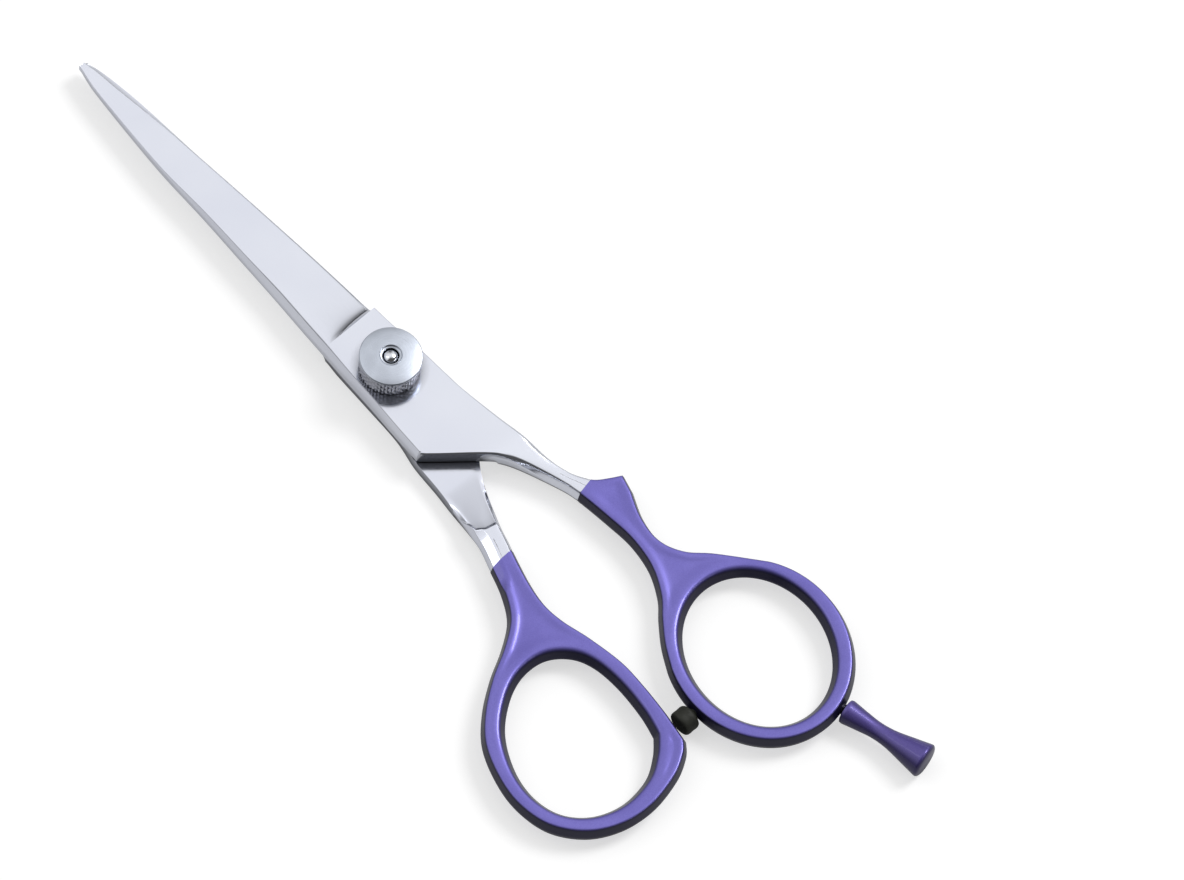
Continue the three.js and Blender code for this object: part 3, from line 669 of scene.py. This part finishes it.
# ---- handles ----
def handle_height(d, past, facet=0.0):
    """Half thickness at a distance in from the outline: rim, flat, then a shallow dish.

    The dish fades out towards the steel, past being the distance beyond the paint line.
    """
    dish = 0.2 * smoothstep((d - 1.1) / 1.1) * smoothstep(past / 5)
    return HANDLE_HALF - np.maximum(rim_drop(d), facet) - dish


def clip_side(points, paint):
    """Height in Y above the paint line, negative on the enamelled side."""
    (x0, y0), (x1, y1) = paint
    return points[:, 1] - (y0 + (points[:, 0] - x0) * (y1 - y0) / (x1 - x0))


def inside(points, polygon):
    """Which points lie in a polygon, by counting crossings."""
    a, b = polygon, np.roll(polygon, -1, 0)
    hit = np.zeros(len(points), bool)
    for (ax, ay), (bx, by) in zip(a, b):
        crosses = (ay > points[:, 1]) != (by > points[:, 1])
        if not crosses.any():
            continue
        x = ax + (points[:, 1] - ay) * (bx - ax) / (by - ay if by != ay else 1e-12)
        hit ^= crosses & (points[:, 0] < x)
    return hit


def inward(line, closed, toward):
    """Unit normals of a polyline, all pointing to the material side."""
    if closed:
        d = np.roll(line, -1, 0) - np.roll(line, 1, 0)
    else:
        d = np.gradient(line, axis=0)
    n = np.stack([-d[:, 1], d[:, 0]], 1)
    n /= np.maximum(np.hypot(*n.T), 1e-9)[:, None]
    return n * toward


def winding(line):
    """1 for a line that runs anticlockwise, -1 for clockwise."""
    x, y = line.T
    return 1 if (x * np.roll(y, -1) - np.roll(x, -1) * y).sum() > 0 else -1


def enamel_rim(outer, paint):
    """The part of an outline that is enamelled, ending on the paint line at both ends."""
    keep = clip_side(outer, paint) < 0
    first, last = np.argmax(keep), len(keep) - 1 - np.argmax(keep[::-1])

    def crossing(p, q):
        u, v = clip_side(np.array([p, q]), paint)
        return p + (q - p) * u / (u - v)

    start = crossing(outer[first - 1], outer[first])
    end = crossing(outer[last], outer[last + 1])
    return np.vstack([start[None], outer[first:last + 1], end[None]])


def paint_points(start, end, segments):
    """Points along the paint line where the rings of points meet it, and its deepest point."""
    fine = end + (start - end) * np.linspace(0, 1, 2001)[:, None]
    deep = distance_to(fine, segments)
    middle = int(np.argmax(deep))
    picked = {middle}
    for stop in RING_STOPS:
        if stop < deep[middle] - 0.03:
            picked.add(int(np.argmin(np.abs(deep[:middle] - stop))))
            picked.add(middle + int(np.argmin(np.abs(deep[middle:] - stop))))
    return fine[sorted(picked)]


def handle_plan(outer, hole, paint, segments):
    """Triangulated plan of a handle, on rings of points offset from the outline and the hole."""
    rim = enamel_rim(outer, paint)
    polygon = np.vstack([rim, paint_points(rim[0], rim[-1], segments)])
    verts, base = [polygon, hole], len(polygon) + len(hole)
    edges = [(i, (i + 1) % len(polygon)) for i in range(len(polygon))]
    edges += [(len(polygon) + i, len(polygon) + (i + 1) % len(hole)) for i in range(len(hole))]
    for stop in RING_STOPS:
        for line, closed, toward in ((outer, False, winding(outer)), (hole, True, -winding(hole))):
            offset = line + inward(line, closed, toward) * stop
            good = distance_to(offset, segments) > stop - 0.012
            good &= clip_side(offset, paint) < -0.06
            good &= inside(offset, polygon) & ~inside(offset, hole)
            index = base + np.cumsum(good) - 1
            for i in range(len(line) if closed else len(line) - 1):
                j = (i + 1) % len(line)
                if good[i] and good[j]:
                    edges.append((int(index[i]), int(index[j])))
            verts.append(offset[good])
            base += int(good.sum())
    points = [Vector(p) for p in np.vstack(verts)]
    out, _, tris, _, _, _ = delaunay_2d_cdt(points, edges, [], 1, 1e-5)
    plan = np.array([tuple(v) for v in out], float)
    tris = np.array([t for t in tris if len(t) == 3], int)
    centre = plan[tris].mean(1)
    tris = tris[inside(centre, polygon) & ~inside(centre, hole)]
    a, b, c = (plan[tris[:, k]] for k in range(3))
    flip = ((b - a)[:, 0] * (c - a)[:, 1] - (b - a)[:, 1] * (c - a)[:, 0]) < 0
    tris[flip] = tris[flip][:, ::-1]
    return plan, tris.tolist()


def plate_faces(tris, size):
    """The same triangles above and below, with walls between their open edges."""
    faces = [tuple(t) for t in tris]
    faces += [tuple(size + i for i in t[::-1]) for t in tris]
    directed = dict.fromkeys((t[i], t[(i + 1) % 3]) for t in tris for i in range(3))
    return faces + [(q, p, size + p, size + q) for p, q in directed if (q, p) not in directed]


def handle(name, outer, hole, paint, body, node, filed=None):
    """Ring handle, the same above and below the middle plane but for the filed flat.

    filed is the stretch of outline whose upper rim carries the long flat of the thumb stem.
    """
    segments = np.vstack([chain(outer), chain(hole, closed=True)])
    plan, tris = handle_plan(outer, hole, paint, segments)
    near_hole = distance_to(plan, chain(hole, closed=True))
    depth = np.minimum(distance_to(plan, segments), near_hole * HOLE_RIM)
    past = -clip_side(plan, paint)
    facet = 0.0 if filed is None else thumb_facet(distance_to(plan, chain(filed)), plan[:, 1])
    top = np.column_stack([plan, MID + handle_height(depth, past, facet)])
    low = np.column_stack([plan, MID - handle_height(depth, past)])
    ob = add_mesh(name, np.vstack([top, low]), plate_faces(tris, len(plan)), PURPLE, body,
                  [node])
    bm = bmesh.new()
    bm.from_mesh(ob.data)
    loose = [v for v in bm.verts if not v.link_faces]
    bmesh.ops.delete(bm, geom=loose, context="VERTS")
    bm.to_mesh(ob.data)
    bm.free()
    shade(ob, 50)


def make_handles():
    arc = ellipse(FINGER_RIM, -40, -285, 240)
    finger = resample(np.vstack([
        spline(HORN),
        spline(FINGER_NECK_RIGHT + [tuple(arc[0])]),
        arc[1:],
        spline([tuple(arc[-1])] + FINGER_NECK_LEFT)[1:],
    ]), OUTLINE_PITCH)
    hole = resample(ellipse(FINGER_HOLE, 0, 360, 400)[:-1], OUTLINE_PITCH, closed=True)
    handle("finger_handle_enamel", finger, hole, FINGER_PAINT, "finger_half", "finger_handle")
    filed = spline(THUMB_OUTER)
    thumb = resample(np.vstack([filed, spline(THUMB_INNER_SIDE)]), OUTLINE_PITCH)
    hole = resample(spline(THUMB_HOLE + THUMB_HOLE[:1])[:-1], OUTLINE_PITCH, closed=True)
    handle("thumb_handle_enamel", thumb, hole, THUMB_PAINT, "thumb_half", "thumb_handle", filed)


# ---- pivot hardware ----
def knurled_barrel():
    """Side of the nut: two crossing sets of helical grooves, with a chamfer at both ends."""
    rows = []
    for i in range(NUT_LEVELS + 1):
        z = BARREL_LOW + (BARREL_HIGH - BARREL_LOW) * i / NUT_LEVELS
        edge = min(z - BARREL_LOW, BARREL_HIGH - z)
        cap = BARREL_RADIUS - BARREL_CHAMFER + min(edge, BARREL_CHAMFER)
        points = []
        for j in range(NUT_SEGMENTS):
            a = 2 * math.pi * j / NUT_SEGMENTS
            u = a / (2 * math.pi) * KNURL_LINES
            first, second = u + z * KNURL_LEAD, u - z * KNURL_LEAD
            ridge = min(abs((first % 1) - 0.5), abs((second % 1) - 0.5)) * 2
            r = min(BARREL_RADIUS - KNURL_DEPTH + KNURL_DEPTH * min(1, ridge * 1.25), cap)
            points.append((r * math.cos(a), r * math.sin(a), z))
        rows.append(points)
    return rows


def make_nut():
    rows = knurled_barrel()
    crown = [(4.56, 9.2), (4.75, 9.26), (4.75, 9.42), (4.64, 9.54), (4.3, 9.62), (3.6, 9.72),
             (2.6, 9.82), (1.9, 9.87), (1.72, 9.87), (1.66, 9.8), (1.6, 9.68), (1.54, 9.64),
             (1.34, 9.62), (1.28, 9.54), (1.26, 8.6)]
    under = [(1.34, 8.5), (1.34, BARREL_LOW), (4.1, BARREL_LOW)]
    rows += [ring(r, z, NUT_SEGMENTS) for r, z in crown + under]
    faces = ring_faces(len(rows), NUT_SEGMENTS, wrap=True)
    ob = add_mesh("tension_nut_knurled", np.array(rows).reshape(-1, 3), faces, NUT_STEEL,
                  "tension_nut", ["thumb_nut"])
    # the barrel's faces take that darker copy, painted shade
    ob.data.materials.append(KNURL_STEEL)
    for face in ob.data.polygons:
        if face.index < (NUT_LEVELS + 1) * NUT_SEGMENTS:
            face.material_index = 1
    shade(ob, 30)


def make_screw():
    dome = [(1.18 * math.cos(t), 9.1 + 0.8 * math.sin(t))
            for t in np.linspace(0, math.pi / 2, 14)[:-1]] + [(0, 9.9)]
    verts, faces = turned([(0, 0), (3.95, 0), (4.1, 0.06), (4.2, 0.2), (4.2, 1.0), (4.1, 1.1),
                           (2.4, 1.1), (2.4, 5.15), (1.3, 5.15), (1.3, 8.3), (1.22, 8.4),
                           (1.18, 8.5), *dome], 96)
    ob = add_mesh("pivot_screw_turned", verts, faces, SCREW_STEEL, "thumb_half",
                  ["pivot_screw"])
    shade(ob, 30)


# ---- rubber stop and finger rest ----
def make_bumper():
    verts, faces = turned([(0, -0.8), (0.8, -0.8), (0.78, 0.3), (0.95, 0.5), (1.45, 0.66),
                           (1.8, 0.84), (1.96, 1.1), (2.0, 1.4), (1.97, 1.9), (1.97, 2.1),
                           (2.0, 2.6), (1.96, 2.95), (1.85, 3.15), (1.6, 3.28), (1.2, 3.33),
                           (0, 3.35)], 72)
    ob = add_mesh("stop_rubber", lay(verts, BUMPER_SEAT, math.pi), faces, RUBBER, "finger_half",
                  ["bumper"])
    shade(ob, 40)


def rest_axis():
    """Length and plan angle of the finger rest."""
    dx, dy = REST_END[0] - REST_START[0], REST_END[1] - REST_START[1]
    return math.hypot(dx, dy), math.atan2(dy, dx)


def make_rest():
    length, angle = rest_axis()
    waist = spline([(1.94, 0.6), (1.62, 3.0), (1.35, 5.6), (1.5, 8.2), (2.15, 11.4),
                    (2.66, length - 0.95)], 8)
    profile = [(0, 2.9), (1.15, 2.9), (1.15, 0.27), (1.25, 0.15), (1.7, 0.15), (1.86, 0.23),
               *[tuple(p) for p in waist], (2.7, length - 0.75), (2.69, length - 0.55),
               (2.58, length - 0.38), (2.4, length - 0.25), (2.2, length - 0.17),
               (1.5, length - 0.07), (0.8, length - 0.02), (0, length - 0.01)]
    verts, faces = turned(profile, 96)
    ob = add_mesh("finger_rest_enamel", lay(verts, REST_START, angle), faces, PURPLE_DARK,
                  "rest", ["finger_rest"])
    shade(ob, 45)


def make_stud():
    """Threaded stud between the ring and the rest: a helical ridge round a core."""
    segments, levels = 48, 80
    rows = []
    for i in range(levels + 1):
        z = STUD_FROM + STUD_LENGTH * i / levels
        points = []
        for j in range(segments):
            a = 2 * math.pi * j / segments
            ridge = abs(((z / THREAD_PITCH + j / segments) % 1) - 0.5) * 2
            r = STUD_RADIUS + THREAD_DEPTH * ridge
            points.append((r * math.cos(a), r * math.sin(a), z))
        rows.append(points)
    faces = ring_faces(len(rows), segments)
    faces.append(tuple(range(segments))[::-1])
    faces.append(tuple((len(rows) - 1) * segments + j for j in range(segments)))
    verts = lay(np.array(rows).reshape(-1, 3), REST_START, rest_axis()[1])
    ob = add_mesh("finger_rest_screw", verts, faces, STUD_STEEL, "rest",
                  ["finger_rest_stud"])
    shade(ob, 50)


def finish_washers():
    """The washers keep their CAD meshes and get a material."""
    for node, material, slot in (("spring_washer", SCREW_STEEL, "screw_steel"),
                                 ("pivot_washer", NYLON, "nylon")):
        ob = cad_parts[node]
        ob.data.materials.clear()
        ob.data.materials.append(material)


# ---- stage ----
def add_camera():
    turn, rise = math.radians(CAMERA_TURN), math.radians(CAMERA_RISE)
    back = Vector((math.sin(turn) * math.cos(rise), -math.cos(turn) * math.cos(rise),
                   math.sin(rise)))
    cam = bpy.data.cameras.new("view_camera")
    cam.sensor_width = 36.0
    cam.lens = cam.sensor_width * CAMERA_DISTANCE / VIEW_WIDTH
    cam.clip_start = 0.05
    ob = bpy.data.objects.new("view_camera", cam)
    bpy.context.scene.collection.objects.link(ob)
    roll = Matrix.Rotation(math.radians(CAMERA_ROLL), 4, "Z")
    aimed = back.to_track_quat("Z", "Y").to_matrix().to_4x4() @ roll
    place = Vector(CAMERA_AIM) * MM + back * CAMERA_DISTANCE
    ob.matrix_world = Matrix.Translation(place) @ aimed
    bpy.context.scene.camera = ob


def add_floor():
    """White table. It is brighter to the camera than in the light it gives the object."""
    mesh = bpy.data.meshes.new("floor")
    r = FLOOR_REACH
    mesh.from_pydata([(-r, -r, 0), (r, -r, 0), (r, r, 0), (-r, r, 0)], [], [(0, 1, 2, 3)])
    ob = bpy.data.objects.new("floor", mesh)
    bpy.context.scene.collection.objects.link(ob)
    m = Nodes("floor")
    m.set(Roughness=0.9, Specular_IOR_Level=0.1, Emission_Color=(1, 1, 1, 1))
    path = m.add("ShaderNodeLightPath").outputs
    # less bounce into the walls of the object than a white table would give
    m.link(m.mix(path["Is Camera Ray"], (0.3,) * 3, (0.5,) * 3), "Base Color")
    seen = m.add("ShaderNodeMath", {0: path["Is Camera Ray"]}, operation="MULTIPLY")
    seen.inputs[1].default_value = 0.6
    # in mirror reflections it glows a little, a painted glow, with painted shade where the object
    # stands close over it
    open_air = m.add("ShaderNodeAmbientOcclusion", Distance=0.0017).outputs["AO"]
    contact = m.add("ShaderNodeMath", {0: open_air}, operation="POWER")
    contact.inputs[1].default_value = 3.0
    pale = m.add("ShaderNodeMath", {0: contact.outputs[0]}, operation="MULTIPLY")
    pale.inputs[1].default_value = 0.32
    mirrored = m.add("ShaderNodeMath", {0: path["Is Glossy Ray"], 1: pale.outputs[0]},
                     operation="MULTIPLY")
    lift = m.add("ShaderNodeMath", {0: seen.outputs[0], 1: mirrored.outputs[0]}, operation="ADD")
    m.link(lift.outputs[0], "Emission Strength")
    mesh.materials.append(m.material)


def add_panel(name, direction, distance, size, radiance):
    """Soft box facing the object. The power gives it the stated radiance."""
    light = bpy.data.lights.new(name, "AREA")
    light.shape = "RECTANGLE"
    light.size, light.size_y = size
    light.energy = radiance * size[0] * size[1] * math.pi
    ob = bpy.data.objects.new(name, light)
    bpy.context.scene.collection.objects.link(ob)
    way = Vector(direction).normalized()
    ob.location = way * distance
    ob.rotation_euler = way.to_track_quat("Z", "Y").to_euler()
    ob.visible_camera = False


class Sky:
    """World of soft lobes of light, made from the direction of a ray."""

    def __init__(self):
        world = bpy.data.worlds.new("studio")
        bpy.context.scene.world = world
        world.use_nodes = True
        self.tree = world.node_tree
        self.tree.nodes.clear()
        self.way = self.tree.nodes.new("ShaderNodeTexCoord").outputs["Generated"]
        split = self.tree.nodes.new("ShaderNodeSeparateXYZ")
        self.tree.links.new(self.way, split.inputs[0])
        self.y = split.outputs["Y"]

    def facing(self, direction):
        """Cosine of the angle to a direction."""
        node = self.tree.nodes.new("ShaderNodeVectorMath")
        node.operation = "DOT_PRODUCT"
        node.inputs[1].default_value = direction
        self.tree.links.new(self.way, node.inputs[0])
        return node.outputs["Value"]

    def ramp(self, source, from_min, from_max, to_min, to_max):
        node = self.tree.nodes.new("ShaderNodeMapRange")
        node.interpolation_type = "SMOOTHSTEP"
        for key, value in (("From Min", from_min), ("From Max", from_max),
                           ("To Min", to_min), ("To Max", to_max)):
            node.inputs[key].default_value = value
        self.tree.links.new(source, node.inputs["Value"])
        return node.outputs["Result"]

    def combine(self, operation, a, b):
        node = self.tree.nodes.new("ShaderNodeMath")
        node.operation = operation
        self.tree.links.new(a, node.inputs[0])
        self.tree.links.new(b, node.inputs[1])
        return node.outputs[0]

    def show(self, level, seen):
        """Lights the scene with level, and shows the camera a plain backdrop."""
        path = self.tree.nodes.new("ShaderNodeLightPath")
        pick = self.tree.nodes.new("ShaderNodeMix")
        pick.inputs[3].default_value = seen
        self.tree.links.new(path.outputs["Is Camera Ray"], pick.inputs[0])
        self.tree.links.new(level, pick.inputs[2])
        shader = self.tree.nodes.new("ShaderNodeBackground")
        self.tree.links.new(pick.outputs[0], shader.inputs["Strength"])
        out = self.tree.nodes.new("ShaderNodeOutputWorld")
        self.tree.links.new(shader.outputs[0], out.inputs["Surface"])


def add_lights():
    for name, (direction, distance, size, radiance) in PANELS.items():
        add_panel(name, direction, distance, size, radiance)
    sky = Sky()
    # a wide soft lobe above and to the right, dimmed towards the points
    right = sky.combine("MULTIPLY",
                        sky.ramp(sky.facing((0.53, 0.29, 0.80)), 0.62, 0.95, 0.10, 1.12),
                        sky.ramp(sky.y, 0.34, 0.62, 1.0, 0.36))
    # and one to the left of it, cut off towards the handles
    left = sky.combine("MULTIPLY",
                       sky.ramp(sky.facing((-0.30, 0.36, 0.88)), 0.35, 0.95, 0.1, 1.12),
                       sky.ramp(sky.y, -0.15, 0.2, 0.05, 1.0))
    sky.show(sky.combine("MAXIMUM", right, left), 1.25)
    bpy.context.scene.view_settings.view_transform = "Standard"


add_camera()
make_halves()
make_handles()
make_nut()
make_screw()
make_bumper()
make_rest()
make_stud()
finish_washers()
add_floor()
add_lights()
